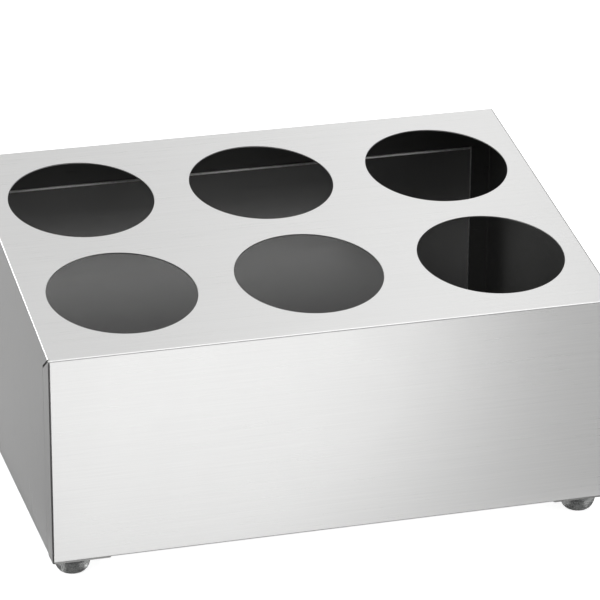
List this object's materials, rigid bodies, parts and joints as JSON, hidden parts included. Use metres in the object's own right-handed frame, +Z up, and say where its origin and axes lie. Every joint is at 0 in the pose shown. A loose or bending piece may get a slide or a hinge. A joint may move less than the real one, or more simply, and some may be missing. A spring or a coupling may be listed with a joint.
{
  "type": "cutlery basket stand",
  "caption": "Folded steel counter stand with a slanted top of round holes for hanging cutlery baskets, an open underside and rubber feet.",
  "frame": {"origin": "on the table, under the middle of the stand's box", "axes": "+X to the right along the width, +Y from the low front to the high rear, +Z up"},
  "size_m": [0.385, 0.262, 0.2011],
  "materials": {
    "brushed_sheet": "brushed stainless sheet, grain along the width",
    "inner_sheet": "plain mill finish",
    "plate_sheet": "plain mill finish",
    "foot_rubber": "soft, smoky and slightly see-through",
    "fastener_steel": "zinc plated"
  },
  "bodies": {
    "root": {"housing_shell": "brushed_sheet", "back_panel": "inner_sheet", "foot_plate_front_left": "plate_sheet", "foot_plate_front_right": "plate_sheet", "foot_plate_rear_left": "plate_sheet", "foot_plate_rear_right": "plate_sheet", "foot_front_left": "foot_rubber", "foot_front_right": "foot_rubber", "foot_rear_left": "foot_rubber", "foot_rear_right": "foot_rubber", "foot_washer_front_left": "fastener_steel", "foot_washer_front_right": "fastener_steel", "foot_washer_rear_left": "fastener_steel", "foot_washer_rear_right": "fastener_steel", "foot_screw_front_left": "fastener_steel", "foot_screw_front_right": "fastener_steel", "foot_screw_rear_left": "fastener_steel", "foot_screw_rear_right": "fastener_steel", "foot_nut_front_left": "fastener_steel", "foot_nut_front_right": "fastener_steel", "foot_nut_rear_left": "fastener_steel", "foot_nut_rear_right": "fastener_steel"}
  },
  "joints": []
}
